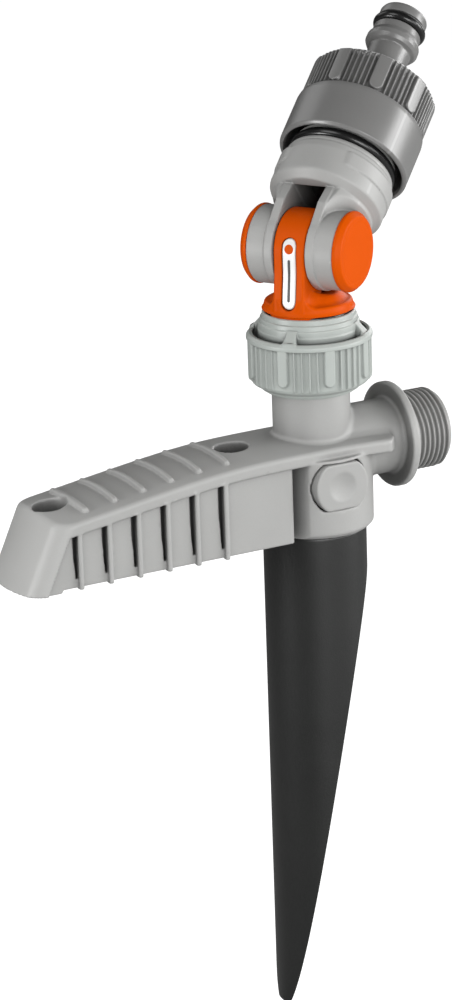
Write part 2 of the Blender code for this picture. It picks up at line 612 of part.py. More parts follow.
def main():
    stand = frame("stand_frame", Matrix())
    turn = Matrix.Rotation(math.radians(PIVOT_AZIMUTH - 90.0), 4, "Z")
    base = frame("swivel_frame", turn)
    head = frame("head_frame", shift(z=PIVOT_Z) @ turn @ Matrix.Rotation(math.radians(-HEAD_TILT), 4, "Y"))
    make_foot_step(stand)
    make_spike(stand)
    for side, name in ((-1, "front"), (1, "rear")):
        make_lock(stand, side, name)
    make_union_nut(stand)
    make_union_washer(stand)
    make_swivel_base(base)
    make_badge(base)
    make_base_seal(base)
    make_clevis(head)
    make_pivot(head)
    make_head_pieces(head)
    make_quick_connect(head)


main()
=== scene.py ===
"""Looks for the sprinkler stand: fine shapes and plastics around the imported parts.

Sizes are in millimetres in three frames: the world, the swivel base (local X away from the head's lean,
local Y along the pivot) and the head (local Z along its own axis, from the pivot).
"""

import json
import math

import bmesh
import bpy
import numpy as np
from mathutils import Matrix, Vector


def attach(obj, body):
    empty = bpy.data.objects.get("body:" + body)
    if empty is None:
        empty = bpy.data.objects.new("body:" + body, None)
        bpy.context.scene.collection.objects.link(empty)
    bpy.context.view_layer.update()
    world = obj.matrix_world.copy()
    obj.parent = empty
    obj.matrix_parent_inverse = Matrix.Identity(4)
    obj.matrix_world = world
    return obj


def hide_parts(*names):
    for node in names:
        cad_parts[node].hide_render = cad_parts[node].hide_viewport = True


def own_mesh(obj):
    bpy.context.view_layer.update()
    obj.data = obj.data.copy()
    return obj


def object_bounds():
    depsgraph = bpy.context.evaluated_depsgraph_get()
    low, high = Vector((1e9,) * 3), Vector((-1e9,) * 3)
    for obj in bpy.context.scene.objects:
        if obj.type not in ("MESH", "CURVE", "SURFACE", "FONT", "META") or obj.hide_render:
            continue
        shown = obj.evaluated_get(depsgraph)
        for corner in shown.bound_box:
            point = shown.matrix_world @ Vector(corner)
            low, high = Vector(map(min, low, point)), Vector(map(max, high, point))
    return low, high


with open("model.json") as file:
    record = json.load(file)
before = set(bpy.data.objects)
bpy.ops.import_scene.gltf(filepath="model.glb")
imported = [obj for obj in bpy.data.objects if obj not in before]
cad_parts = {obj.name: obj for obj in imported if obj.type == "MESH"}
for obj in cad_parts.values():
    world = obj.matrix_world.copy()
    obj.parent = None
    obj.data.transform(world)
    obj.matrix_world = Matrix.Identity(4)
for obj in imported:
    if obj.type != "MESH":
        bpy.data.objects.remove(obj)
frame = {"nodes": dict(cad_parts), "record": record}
CAD_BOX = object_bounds()

MM = 0.001
COARSE = 1.0       # mesh cells grow by this while trying things

PIVOT_Z, PIVOT_AZIMUTH, HEAD_TILT = 92.5, -57.0, 50.0
PITCH = 1.814                             # of a G 3/4 thread
WORLD = Matrix()
TURN = Matrix.Rotation(math.radians(PIVOT_AZIMUTH - 90.0), 4, "Z")
BASE = TURN
HEAD = Matrix.Translation((0, 0, PIVOT_Z * MM)) @ TURN @ Matrix.Rotation(math.radians(-HEAD_TILT), 4, "Y")
ALONG_X = Matrix.Rotation(math.pi / 2, 4, "Y")
ALONG_Y = Matrix.Rotation(-math.pi / 2, 4, "X")


def half_turn(side):
    """Nothing for the side that is +1, and half a turn about Z for the one that is -1."""
    return Matrix.Rotation(0.0 if side > 0 else math.pi, 4, "Z")


# Materials ------------------------------------------------------------------------------------------


def link(tree, a, out, b, into):
    tree.links.new(a.outputs[out], b.inputs[into])


def plastic(name, colour, roughness, grain=0.05, mottle=0.05, coat=0.0, wear_and_highlight=0.25, shine=0.5):
    """Moulded plastic: a faint mottle, a fine grain in its bump, convex edges a little lighter for wear and painted
    highlight, and painted shade in its creases.
    """
    made = bpy.data.materials.new(name)
    made.use_nodes = True
    tree = made.node_tree
    shader = tree.nodes["Principled BSDF"]
    where = tree.nodes.new("ShaderNodeTexCoord")
    blotch = tree.nodes.new("ShaderNodeTexNoise")
    blotch.inputs["Scale"].default_value = 55.0
    blotch.inputs["Detail"].default_value = 5.0
    link(tree, where, "Object", blotch, "Vector")
    speck = tree.nodes.new("ShaderNodeTexNoise")
    speck.inputs["Scale"].default_value = 1900.0
    speck.inputs["Detail"].default_value = 2.0
    link(tree, where, "Object", speck, "Vector")
    # Colour: light and dark of the same plastic, mixed by the mottle and the specks.
    both = tree.nodes.new("ShaderNodeMath")
    both.operation = "MULTIPLY_ADD"
    link(tree, speck, "Fac", both, 0)
    both.inputs[1].default_value = 0.45
    link(tree, blotch, "Fac", both, 2)
    tone = tree.nodes.new("ShaderNodeMapRange")
    tone.inputs["From Min"].default_value = 0.45
    tone.inputs["From Max"].default_value = 1.0
    link(tree, both, 0, tone, "Value")
    shades = tree.nodes.new("ShaderNodeMix")
    shades.data_type = "RGBA"
    shades.inputs["A"].default_value = (*[c * (1 - mottle) for c in colour], 1)
    shades.inputs["B"].default_value = (*[min(1, c * (1 + mottle)) for c in colour], 1)
    link(tree, tone, "Result", shades, "Factor")
    # Wear and painted highlight: convex edges are paler.
    shape = tree.nodes.new("ShaderNodeNewGeometry")
    edge = tree.nodes.new("ShaderNodeMapRange")
    edge.inputs["From Min"].default_value = 0.52
    edge.inputs["From Max"].default_value = 0.62
    edge.inputs["To Max"].default_value = wear_and_highlight
    link(tree, shape, "Pointiness", edge, "Value")
    worn_and_lit = tree.nodes.new("ShaderNodeMix")
    worn_and_lit.data_type = "RGBA"
    worn_and_lit.inputs["B"].default_value = (*[c + (1 - c) * 0.30 for c in colour], 1)
    link(tree, shades, "Result", worn_and_lit, "A")
    link(tree, edge, "Result", worn_and_lit, "Factor")
    # Painted shade: creases, grooves and holes are darkened where the piece's own mesh closes round them.
    closed = tree.nodes.new("ShaderNodeAmbientOcclusion")
    closed.only_local = True
    closed.samples = 6
    closed.inputs["Distance"].default_value = 0.020
    painted_shade_amount = tree.nodes.new("ShaderNodeMapRange")
    painted_shade_amount.inputs["From Min"].default_value = 0.20
    painted_shade_amount.inputs["From Max"].default_value = 0.93
    painted_shade_amount.inputs["To Min"].default_value = 0.95
    painted_shade_amount.inputs["To Max"].default_value = 0.0
    link(tree, closed, "AO", painted_shade_amount, "Value")
    # The painted shade's colour, an eighth of the plastic's own.
    painted_shade = tree.nodes.new("ShaderNodeMix")
    painted_shade.data_type = "RGBA"
    painted_shade.inputs["B"].default_value = (*[c * 0.12 for c in colour], 1)
    link(tree, worn_and_lit, "Result", painted_shade, "A")
    link(tree, painted_shade_amount, "Result", painted_shade, "Factor")
    tree.links.new(painted_shade.outputs["Result"], shader.inputs["Base Color"])
    # Roughness and bump.
    gloss = tree.nodes.new("ShaderNodeMapRange")
    gloss.inputs["To Min"].default_value = roughness - 0.05
    gloss.inputs["To Max"].default_value = roughness + 0.06
    link(tree, blotch, "Fac", gloss, "Value")
    link(tree, gloss, "Result", shader, "Roughness")
    bump = tree.nodes.new("ShaderNodeBump")
    bump.inputs["Strength"].default_value = grain
    bump.inputs["Distance"].default_value = 0.0002
    link(tree, speck, "Fac", bump, "Height")
    link(tree, bump, "Normal", shader, "Normal")
    shader.inputs["Coat Weight"].default_value = coat
    shader.inputs["Coat Roughness"].default_value = 0.15
    shader.inputs["Specular IOR Level"].default_value = shine
    return made


def metal(name, colour, roughness):
    """Drawn wire: the same fine grain, on metal."""
    made = plastic(name, colour, roughness, grain=0.1, wear_and_highlight=0.1)
    made.node_tree.nodes["Principled BSDF"].inputs["Metallic"].default_value = 1.0
    return made


GREY = plastic("grey_moulding", (0.36, 0.36, 0.352), 0.47, grain=0.10, mottle=0.035, wear_and_highlight=0.30)
LIGHT = plastic("light_moulding", (0.40, 0.43, 0.408), 0.38, grain=0.08, mottle=0.03, wear_and_highlight=0.35)
DARK = plastic("dark_moulding", (0.18, 0.179, 0.176), 0.31, grain=0.06, mottle=0.04, wear_and_highlight=0.30, shine=0.7)
ORANGE = plastic("orange_moulding", (0.61, 0.076, 0.0), 0.42, grain=0.04, mottle=0.03, wear_and_highlight=0.0, shine=0.06)
BLACK = plastic("charcoal_moulding", (0.005, 0.0055, 0.005), 0.42, grain=0.16, mottle=0.15, wear_and_highlight=0.05, shine=0.70)
RUBBER = plastic("rubber", (0.010, 0.010, 0.010), 0.26, grain=0.05, mottle=0.15, wear_and_highlight=0.03)
WHITE = plastic("white_insert", (0.76, 0.76, 0.75), 0.28, grain=0.02, mottle=0.01, coat=0.3, wear_and_highlight=0.1)
ACETAL = plastic("acetal", (0.70, 0.70, 0.68), 0.35, grain=0.05)
STEEL = metal("spring_steel", (0.55, 0.55, 0.56), 0.3)

SLOTS = {
    "grey_plastic": GREY, "light_grey_plastic": LIGHT, "dark_grey_plastic": DARK, "orange_plastic": ORANGE,
    "black_plastic": BLACK, "rubber": RUBBER, "white_plastic": WHITE, "acetal": ACETAL, "steel": STEEL,
}
for part in frame["record"]["subparts"]:
    node = frame["nodes"][part["node"]]
    node.data.materials.clear()
    node.data.materials.append(SLOTS[part["material_slot"]])


# Meshes ---------------------------------------------------------------------------------------------


def mesh_of(name, points, quads):
    """A smooth-shaded mesh object from an array of points in mm and one of quads."""
    mesh = bpy.data.meshes.new(name)
    mesh.vertices.add(len(points))
    mesh.vertices.foreach_set("co", (np.asarray(points, np.float32) * MM).ravel())
    mesh.loops.add(4 * len(quads))
    mesh.loops.foreach_set("vertex_index", np.asarray(quads, np.int32).ravel())
    mesh.polygons.add(len(quads))
    mesh.polygons.foreach_set("loop_start", np.arange(0, 4 * len(quads), 4, dtype=np.int32))
    mesh.update(calc_edges=True)
    mesh.validate()
    mesh.shade_smooth()
    made = bpy.data.objects.new(name, mesh)
    bpy.context.scene.collection.objects.link(made)
    return made


def settle(made, place, material, body, nodes):
    """Puts a piece in place, gives it its material, ties it to its body, and hides the parts it stands in for."""
    made.data.transform(place)
    made.data.materials.append(material)
    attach(made, body)
    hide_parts(*nodes)
    return made


def round_min(a, b, r):
    """Joins two fields, with a fillet of radius r where they meet."""
    away = np.sqrt(np.maximum(r - a, 0) ** 2 + np.maximum(r - b, 0) ** 2)
    return np.maximum(r, np.minimum(a, b)) - away


def round_max(a, b, r):
    """Keeps what two fields share, with its edge rounded to radius r."""
    away = np.sqrt(np.maximum(r + a, 0) ** 2 + np.maximum(r + b, 0) ** 2)
    return np.minimum(-r, np.maximum(a, b)) + away


def carve(a, b, r):
    """Takes one field out of another, with the edge rounded to radius r."""
    return round_max(a, -b, r)


def sample(field, low, cell, count):
    """Field values on a grid. Blocks of 8 cells far from the surface keep their centre's value."""
    block = 8
    blocks = [math.ceil(c / block) for c in count]
    axes = [low[i] + (np.arange(blocks[i]) * block + 3.5) * cell for i in range(3)]
    coarse = field(axes[0][:, None, None], axes[1][None, :, None], axes[2][None, None, :]).astype(np.float32)
    coarse = np.broadcast_to(coarse, blocks)
    full = coarse.repeat(block, 0).repeat(block, 1).repeat(block, 2)
    near = np.argwhere(np.abs(coarse) < 4.5 * math.sqrt(3) * cell * 1.35)
    step = np.arange(block)
    for some in np.array_split(near, max(1, len(near) // 1500)):
        grid = [some[:, i, None] * block + step for i in range(3)]
        x = low[0] + grid[0] * cell
        y = low[1] + grid[1] * cell
        z = low[2] + grid[2] * cell
        value = field(x[:, :, None, None], y[:, None, :, None], z[:, None, None, :])
        full[grid[0][:, :, None, None], grid[1][:, None, :, None], grid[2][:, None, None, :]] = value
    return full


CORNERS = [(0, 0, 0), (1, 0, 0), (0, 1, 0), (1, 1, 0), (0, 0, 1), (1, 0, 1), (0, 1, 1), (1, 1, 1)]
EDGES = [(0, 1), (2, 3), (4, 5), (6, 7), (0, 2), (1, 3), (4, 6), (5, 7), (0, 4), (1, 5), (2, 6), (3, 7)]


def net(name, field, low, high, cell):
    """The zero surface of a field as a quad mesh: one vertex a cell, moved onto the surface."""
    cell *= COARSE
    count = [math.ceil((b - a) / cell) + 1 for a, b in zip(low, high)]
    value = sample(field, low, cell, count)
    inside = value < 0
    size = [n - 1 for n in value.shape]
    total = np.zeros(size, np.int8)
    for i, j, k in CORNERS:
        total += inside[i:size[0] + i, j:size[1] + j, k:size[2] + k]
    mixed = (total > 0) & (total < 8)
    cells = np.argwhere(mixed)
    number = np.full(size, -1, np.int32)
    number[mixed] = np.arange(len(cells))
    at_corner = [value[cells[:, 0] + i, cells[:, 1] + j, cells[:, 2] + k] for i, j, k in CORNERS]
    sums = np.zeros((len(cells), 3))
    hits = np.zeros(len(cells))
    for a, b in EDGES:
        fa, fb = at_corner[a], at_corner[b]
        cross = (fa < 0) != (fb < 0)
        t = np.where(cross, fa / np.where(cross, fa - fb, 1), 0)
        start, end = np.array(CORNERS[a], float), np.array(CORNERS[b], float)
        sums += np.where(cross[:, None], start + t[:, None] * (end - start), 0)
        hits += cross
    points = np.array(low) + cell * (cells + sums / hits[:, None])
    quads = []
    for axis in range(3):
        u, v = (axis + 1) % 3, (axis + 2) % 3
        lower = [slice(1, None)] * 3
        lower[axis] = slice(0, -1)
        upper = list(lower)
        upper[axis] = slice(1, None)
        first, second = inside[tuple(lower)], inside[tuple(upper)]
        for turned in (False, True):
            at = np.argwhere((first & ~second) if not turned else (~first & second))
            at[:, u] += 1
            at[:, v] += 1
            ring = []
            for du, dv in ((-1, -1), (0, -1), (0, 0), (-1, 0)):
                spot = at.copy()
                spot[:, u] += du
                spot[:, v] += dv
                keep = (spot < np.array(size)).all(1)
                spot = np.minimum(spot, np.array(size) - 1)
                ring.append(np.where(keep, number[spot[:, 0], spot[:, 1], spot[:, 2]], -1))
            ring = np.stack(ring[::-1] if turned else ring, 1)
            quads.append(ring[(ring >= 0).all(1)])
    quads = np.concatenate(quads)
    h = 0.04
    for _ in range(3):
        x, y, z = points.T
        here = field(x, y, z)
        slope = np.stack([field(x + h, y, z) - field(x - h, y, z), field(x, y + h, z) - field(x, y - h, z),
                          field(x, y, z + h) - field(x, y, z - h)], 1) / (2 * h)
        step = here[:, None] * slope / np.maximum((slope ** 2).sum(1), 0.2)[:, None]
        length = np.sqrt((step ** 2).sum(1))[:, None]
        points = points - step * np.minimum(1, 0.35 * cell / np.maximum(length, 1e-9))
    return mesh_of(name, points, quads)


def thin(made, most):
    """Collapses a mesh to at most this many triangles."""
    faces = 2 * len(made.data.polygons)
    if faces <= most:
        return made
    modifier = made.modifiers.new("thin", "DECIMATE")
    modifier.ratio = most / faces
    graph = bpy.context.evaluated_depsgraph_get()
    mesh = bpy.data.meshes.new_from_object(made.evaluated_get(graph))
    made.modifiers.clear()
    made.data = mesh
    mesh.shade_smooth()
    return made


def rounded(outline, closed=False, points=5):
    """A polyline through (r, z, fillet) corners, each fillet drawn as an arc."""
    out = []
    count = len(outline)
    for i, (r, z, fillet) in enumerate(outline):
        here = np.array([r, z], float)
        if fillet <= 0 or (not closed and i in (0, count - 1)):
            out.append(here)
            continue
        before = np.array(outline[i - 1][:2], float) - here
        after = np.array(outline[(i + 1) % count][:2], float) - here
        la, lb = np.linalg.norm(before), np.linalg.norm(after)
        before, after = before / la, after / lb
        half = math.acos(max(-1.0, min(1.0, float(before @ after)))) / 2
        cut = min(fillet / math.tan(half), 0.48 * la, 0.48 * lb)
        radius = cut * math.tan(half)
        middle = here + (before + after) / np.linalg.norm(before + after) * radius / math.sin(half)
        start, end = here + before * cut - middle, here + after * cut - middle
        sweep = math.acos(max(-1.0, min(1.0, float(start @ end) / radius ** 2)))
        for k in range(points):
            t = k / (points - 1)
            if sweep < 1e-4:
                out.append(middle + start)
                continue
            mix = (math.sin((1 - t) * sweep) * start + math.sin(t * sweep) * end) / math.sin(sweep)
            out.append(middle + mix)
    return np.array(out)


def dense(points, longest, closed=True):
    """Splits the long segments of a profile."""
    out = []
    count = len(points)
    for i in range(count if closed else count - 1):
        a, b = points[i], points[(i + 1) % count]
        pieces = max(1, math.ceil(np.linalg.norm(b - a) / longest))
        out += [a + (b - a) * k / pieces for k in range(pieces)]
    if not closed:
        out.append(points[-1])
    return np.array(out)


def lathe(name, profile, segments, shape=None):
    """A closed profile of (r, z), outer side downwards, turned about Z. shape moves the turned points."""
    segments = int(segments / COARSE)
    theta = np.arange(segments) * 2 * math.pi / segments
    r = np.repeat(profile[:, 0][:, None], segments, 1)
    z = np.repeat(profile[:, 1][:, None], segments, 1)
    if shape is not None:
        r, z = shape(theta[None, :], r, z)
    return turned(name, theta, r, z)


def turned(name, theta, r, z):
    """A closed mesh from rows of r and z, one row a profile point and one column an angle."""
    points = np.stack([r * np.cos(theta), r * np.sin(theta), z], 2).reshape(-1, 3)
    count, segments = r.shape
    i = np.arange(count)[:, None]
    j = np.arange(segments)[None, :]
    k, m = (i + 1) % count, (j + 1) % segments
    quads = np.stack([i * segments + j, k * segments + j, k * segments + m, i * segments + m], 2).reshape(-1, 4)
    return mesh_of(name, points, quads)


def close_axis(made):
    """Joins the points that lie together on the axis, where a turned profile starts and ends."""
    grid = bmesh.new()
    grid.from_mesh(made.data)
    on_axis = [v for v in grid.verts if math.hypot(v.co.x, v.co.y) < 1e-7]
    bmesh.ops.remove_doubles(grid, verts=on_axis, dist=1e-6)
    bmesh.ops.delete(grid, geom=[e for e in grid.edges if not e.link_faces], context="EDGES")
    grid.to_mesh(made.data)
    grid.free()
    return made


def coil(name, radius, wire, low, high, turns):
    """A round wire wound about Z, flat at its two ends."""
    count, sides = turns * 28, 8
    turn = np.linspace(0, 2 * math.pi * turns, count + 1)[:, None]
    spin = (np.arange(sides) * 2 * math.pi / sides)[None, :]
    r = radius + wire * np.cos(spin)
    z = np.linspace(low, high, count + 1)[:, None] + wire * np.sin(spin)
    points = np.stack([r * np.cos(turn), r * np.sin(turn), z], 2).reshape(-1, 3)
    i, j = np.arange(count)[:, None], np.arange(sides)[None, :]
    k = (j + 1) % sides
    tube = np.stack([i * sides + j, (i + 1) * sides + j, (i + 1) * sides + k, i * sides + k], 2).reshape(-1, 4)
    end = np.array([[0, 1, 2, 3], [0, 3, 4, 7], [4, 5, 6, 7]])
    return mesh_of(name, points, np.concatenate([tube, end, count * sides + end[:, ::-1]]))


def torus(name, major, minor, height, flat=1.0):
    """An O-ring about Z."""
    turn = -np.arange(28) * 2 * math.pi / 28
    profile = np.stack([major + minor * np.cos(turn), height + flat * minor * np.sin(turn)], 1)
    return lathe(name, profile, 160)


def ramp(low, high, value):
    """0 at low and 1 at high, with a smooth rise between."""
    t = np.clip((value - low) / (high - low), 0, 1)
    return t * t * (3 - 2 * t)


def bump(distance, half, soft):
    """1 within half of the middle, falling smoothly to 0 over soft."""
    return ramp(-half - soft / 2, -half + soft / 2, -np.abs(distance))


def around(theta, centre, count):
    """The angle from the nearest of count places, the first at centre degrees."""
    pitch = 2 * math.pi / count
    return (theta - math.radians(centre) + pitch / 2) % pitch - pitch / 2


# Foot step and tee ----------------------------------------------------------------------------------

STEP_HALF, WALL_HALF, WALL = 17.0, 15.7, 2.4
RIM_BAND, CROWN, TOP_Z = 4.0, 2.0, 29.5
TOE_CORNER, TOE_SLOPE, TOE_BOW = -98.6, 2.2, 3.6
WEB_END, SIDE_WALL_END = 22.5, -15.6
BARREL_R, SOCKET_R, SOCKET_TOP = 19.5, 16.5, 27.0
PEG_HOLES, PEG_R = (-29.8, -94.9), 5.6
TOP_RIBS = [-87.8 + 10.0 * i for i in range(6)]
SIDE_RIBS = [-92.6 + 10.36 * i for i in range(6)]
PIPE_R, PORT_R, PORT_Z = 12.7, 12.3, 25.2
FLANGE_R, FLANGE = 17.4, (28.1, 30.8)
THREAD_R, THREAD_CORE = 13.22, 12.06
BUTTON_Z, BUTTON_R, BUTTON_FLAT, BUTTON_FACE = 17.4, 9.5, 7.7, 19.9
SPIKE_R, SPIKE_WALL, SHOULDER_Z, TIP_Z = 17.0, 2.4, -0.2, -167.5
TEE_BORE, PIPE_BORE = 7.5, 7.1


def edge_height(x):
    """Height of the step's long upper edges: level over the barrel, then sloping down to the toe."""
    slope = TOP_Z - 0.147 * 8.0 * np.log1p(np.exp((-x - 38.0) / 8.0))
    return np.where(x > 0, TOP_Z - 0.0015 * x * x, slope)


def foot_step(x, y, z):
    """The foot step, barrel, tee and flange, as one moulding."""
    ay = np.abs(y)
    r = np.sqrt(x * x + y * y)
    bowed = x + TOE_BOW * (1 - (y / STEP_HALF) ** 2) * np.clip((-x - 86.0) / 12.0, 0, 1)
    edge = edge_height(bowed)
    crown = CROWN * (1 - (y / STEP_HALF) ** 2)
    top = (z - edge - crown) * 0.985
    rim = (z - edge) * 0.985
    toe_edge = float(edge_height(np.array(TOE_CORNER)))
    toe = (z - toe_edge - TOE_SLOPE * (bowed - TOE_CORNER)) / math.hypot(1, TOE_SLOPE)
    # The rim band: the crowned roof, with straight sides 4 mm high that also run down the toe's sides.
    under = round_max(rim, toe, 2.5) + RIM_BAND
    band = round_max(round_max(toe, ay - STEP_HALF, 5.0), top, 1.2)
    band = carve(band, under, 0.3)
    band = round_max(band, x - WEB_END, 0.7)
    band = round_max(band, (x + ay - WEB_END - STEP_HALF + 2.4) * 0.7071, 0.5)
    wall = round_max(round_max(toe + 1.6, ay - WALL_HALF, 2.5), top + 1.0, 0.5)
    wall = round_max(wall, x - SIDE_WALL_END, 1.5)
    body = round_min(band, wall, 0.35)
    floor = -1.0 * np.clip((-x - 98.4) / 0.8, 0, 1)
    body = round_max(body, floor - z, 0.4)
    # Six ribs over the crown, and six down each side.
    for at in TOP_RIBS:
        along = np.maximum(ay - 11.9, 0)
        rib = np.sqrt((bowed - at) ** 2 + (top - 0.25) ** 2 + along ** 2) - 0.95
        body = round_min(body, rib, 0.15)
    for at in SIDE_RIBS:
        width = 0.45 + 0.3 * ramp(3.0, 15.0, z)
        groove = np.maximum(np.abs(x - at + 0.75 + width) - width, np.maximum(12.9 - ay, rim + RIM_BAND))
        body = carve(body, np.maximum(groove, 3.0 - z), 0.1)
        rib = round_max(np.abs(x - at) - 0.8, ay - STEP_HALF + 0.05, 0.45)
        rib = np.maximum(rib, 14.6 - ay)
        rib = round_max(round_max(rib, rim + RIM_BAND - 0.6, 0.2), -0.6 - z, 0.5)
        body = round_min(body, rib, 0.2)
    # The hollow underneath, with two collars for the pegs.
    roof = (z - edge - 0.7 * crown) * 0.985 + WALL
    hollow = round_max(round_max(roof, ay - 13.7, 1.0), toe + 3.7, 1.0)
    hollow = round_max(hollow, x + 17.0, 1.0)
    for at in SIDE_RIBS:
        hollow = np.maximum(hollow, -np.maximum(np.abs(x - at + 1.45) - 2.2, np.maximum(11.6 - ay, 2.5 - z)))
    body = carve(body, hollow, 0.4)
    for at in PEG_HOLES:
        peg = np.sqrt((x - at) ** 2 + y * y)
        collar = round_max(round_max(peg - PEG_R - 1.7, 11.0 - z, 0.3), np.maximum(top, toe) + 1.0, 0.3)
        body = round_min(body, collar, 0.6)
        body = carve(body, peg - PEG_R, 0.35)
    # The barrel, with a flat where each side wall ends, and the tee's lower end hanging inside it.
    barrel = round_max(r - BARREL_R, z - 26.4, 0.4)
    barrel = round_max(barrel, (r - BARREL_R + 1.4 - z) * 0.7071, 0.25)
    barrel = round_max(barrel, (x + 10.62) * -0.848 + (ay - 16.35) * 0.53, 0.12)
    barrel = round_max(barrel, -z, 0.3)
    body = round_min(body, barrel, 0.5)
    body = carve(body, np.maximum(r - SOCKET_R, z - SOCKET_TOP), 0.3)
    side = np.sqrt(y * y + (z - PORT_Z) ** 2)
    drop = round_max(r - 10.0, 14.8 - z, 0.4)
    body = round_min(body, np.maximum(drop, z - 30.0), 0.3)
    body = round_min(body, np.maximum(side - 9.6, np.maximum(1.0 - x, x - 20.0)), 0.4)
    # The upright pipe and the side pipe with its flange.
    upright = np.maximum(r - PIPE_R, np.maximum(29.0 - z, z - 47.6))
    body = round_min(body, upright, 1.4)
    outer = np.maximum(side - PORT_R, np.maximum(-x, x - 28.4))
    outer = np.maximum(outer, -np.maximum(r - SOCKET_R, z - SOCKET_TOP))
    body = round_min(body, outer, 1.5)
    flange = round_max(side - FLANGE_R, np.abs(x - sum(FLANGE) / 2) - (FLANGE[1] - FLANGE[0]) / 2, 0.55)
    body = round_min(body, flange, 1.1)
    # Bores and button windows.
    body = np.maximum(body, -np.maximum(r - TEE_BORE, 17.4 - z))
    body = np.maximum(body, -np.maximum(side - PIPE_BORE, 1.0 - x))
    across = np.sqrt(x * x + (z - BUTTON_Z) ** 2)
    window = round_max(across - BUTTON_R - 0.6, np.abs(z - BUTTON_Z) - BUTTON_FLAT - 0.22, 0.2)
    window = np.maximum(window, np.maximum(13.0 - ay, ay - 22.0))
    return carve(body, window, 0.15)


def thread(start, end):
    """Turns a plain cylinder between two heights into a thread that runs out at both ends."""
    def shape(theta, r, z):
        turn = (z / PITCH - theta / (2 * math.pi)) % 1.0
        crest = np.clip(1.3 - np.abs(turn - 0.5) * 3.6, 0, 1)
        fade = ramp(start, start + 0.9, z) * ramp(-end, -end + 1.3, -z)
        here = (r > THREAD_CORE - 0.02) & (z > start) & (z < end)
        return r + np.where(here, (THREAD_R - THREAD_CORE) * crest * fade, 0), z
    return shape


def threaded(name, outline, start, end):
    """A turned sleeve with a thread outside it."""
    profile = dense(rounded(outline, True, 4), 0.2)
    return lathe(name, profile, 200, thread(start, end))


def make_stand():
    body = net("foot_step_body", foot_step, (-112.5, -21.0, -2.2), (32.0, 21.0, 48.6), 0.5)
    settle(thin(body, 195000), WORLD, GREY, "stand", ["foot_step"])
    side = threaded("inlet_thread", [(THREAD_CORE, 45.6, 0.5), (THREAD_CORE, 30.4, 0), (8.0, 30.4, 0), (8.0, 32.0, 0),
                                     (9.0, 32.0, 0), (9.0, 45.6, 0.4)], 31.2, 45.2)
    settle(side, Matrix.Translation((0, 0, PORT_Z * MM)) @ ALONG_X, GREY, "stand", ["foot_step"])
    upright = threaded("union_thread", [(THREAD_CORE, 58.0, 0.5), (THREAD_CORE, 47.0, 0), (TEE_BORE, 47.0, 0),
                                        (TEE_BORE, 58.0, 0.3)], 47.8, 57.6)
    settle(upright, WORLD, GREY, "stand", ["foot_step"])


# Ground spike ---------------------------------------------------------------------------------------


def spike_neck(x, y, z):
    """The tube inside the barrel, cut half away for the tee, with a window for each button."""
    r = np.sqrt(x * x + y * y)
    tube = round_max(r - 16.2, z - 26.6, 0.4)
    tube = carve(tube, r - 14.6, 0.3)
    tube = np.maximum(tube, -1.2 - z)
    room = np.maximum(np.maximum(-x, np.abs(y) - 10.7), 9.9 - z)
    tube = np.maximum(tube, -room)
    across = np.sqrt(x * x + (z - BUTTON_Z) ** 2)
    window = np.maximum(across - BUTTON_R - 0.3, np.abs(z - BUTTON_Z) - BUTTON_FLAT - 0.3)
    return np.maximum(tube, -np.maximum(window, 5.0 - np.abs(y)))


def quill_cut(x):
    """Height of the spike's slanting cut at a given x."""
    depth = (np.maximum(SPIKE_R - x, 0) / 1.085) ** (1 / 0.68)
    return np.maximum(-12.0 - depth, TIP_Z)


def make_spike():
    neck = net("ground_spike_neck", spike_neck, (-17.2, -17.2, -2.0), (17.2, 17.2, 27.6), 0.5)
    settle(thin(neck, 60000), WORLD, BLACK, "stand", ["ground_spike"])
    # The blade is a tube whose outer and inner faces each run down to the cut, with its edges rounded.
    theta = np.arange(int(300 / COARSE)) * 2 * math.pi / int(300 / COARSE)
    down = np.linspace(0, 1, int(150 / COARSE))
    inner_r = SPIKE_R - SPIKE_WALL
    rows_r, rows_z = [], []
    for r, drop in ((SPIKE_R - 0.5, 0.0), (SPIKE_R - 0.15, 0.1)):
        rows_r.append(np.full_like(theta, r))
        rows_z.append(np.full_like(theta, SHOULDER_Z - drop))
    for side_r, order in ((SPIKE_R, down), (None, ()), (inner_r, down[::-1])):
        if side_r is None:
            for inset, lift in ((0.10, 0.14), (0.3, 0.0), (0.8, 0.0), (1.6, 0.0), (2.1, 0.0), (2.3, 0.14)):
                r = SPIKE_R - inset
                rows_r.append(np.full_like(theta, r))
                rows_z.append(quill_cut(r * np.cos(theta)) + lift)
            continue
        end = quill_cut(side_r * np.cos(theta)) + 0.4
        for t in order:
            rows_r.append(np.full_like(theta, side_r))
            rows_z.append((SHOULDER_Z - 0.4) * (1 - t) + end * t)
    rows_r.append(np.full_like(theta, inner_r))
    rows_z.append(np.full_like(theta, SHOULDER_Z))
    blade = turned("ground_spike_blade", theta, np.array(rows_r), np.array(rows_z))
    settle(blade, WORLD, BLACK, "stand", ["ground_spike"])


# Lock buttons ---------------------------------------------------------------------------------------

SPRING_SEAT, SPRING_LONG = 11.1, 5.9      # from the barrel's axis to a spring's fixed end, and its length
SPRING_R, SPRING_WIRE, SPRING_TURNS = 3.4, 0.35, 4


def lock_button(x, y, z):
    """Local Z points out of the barrel, local Y up on the front side and down on the rear one."""
    r = np.sqrt(x * x + y * y)
    body = round_max(round_max(r - BUTTON_R, np.abs(y) - BUTTON_FLAT, 0.5), np.abs(z - 16.95) - 2.95, 0.55)
    dish = np.sqrt(r * r + (z - BUTTON_FACE - 11.3) ** 2) - 12.3
    body = carve(body, dish, 0.2)
    well = np.maximum(r - 4.4, np.maximum(z - 17.3, 13.0 - z))
    body = np.maximum(body, -well)
    hook = np.maximum(np.maximum(np.abs(x) - 4.0, np.abs(y - 7.7) - 1.2), np.abs(z - 13.3) - 1.7)
    toe = np.maximum(np.maximum(np.abs(x) - 4.0, np.abs(y - 8.9) - 2.2), np.abs(z - 12.2) - 0.6)
    return np.minimum(np.minimum(body, hook), toe)


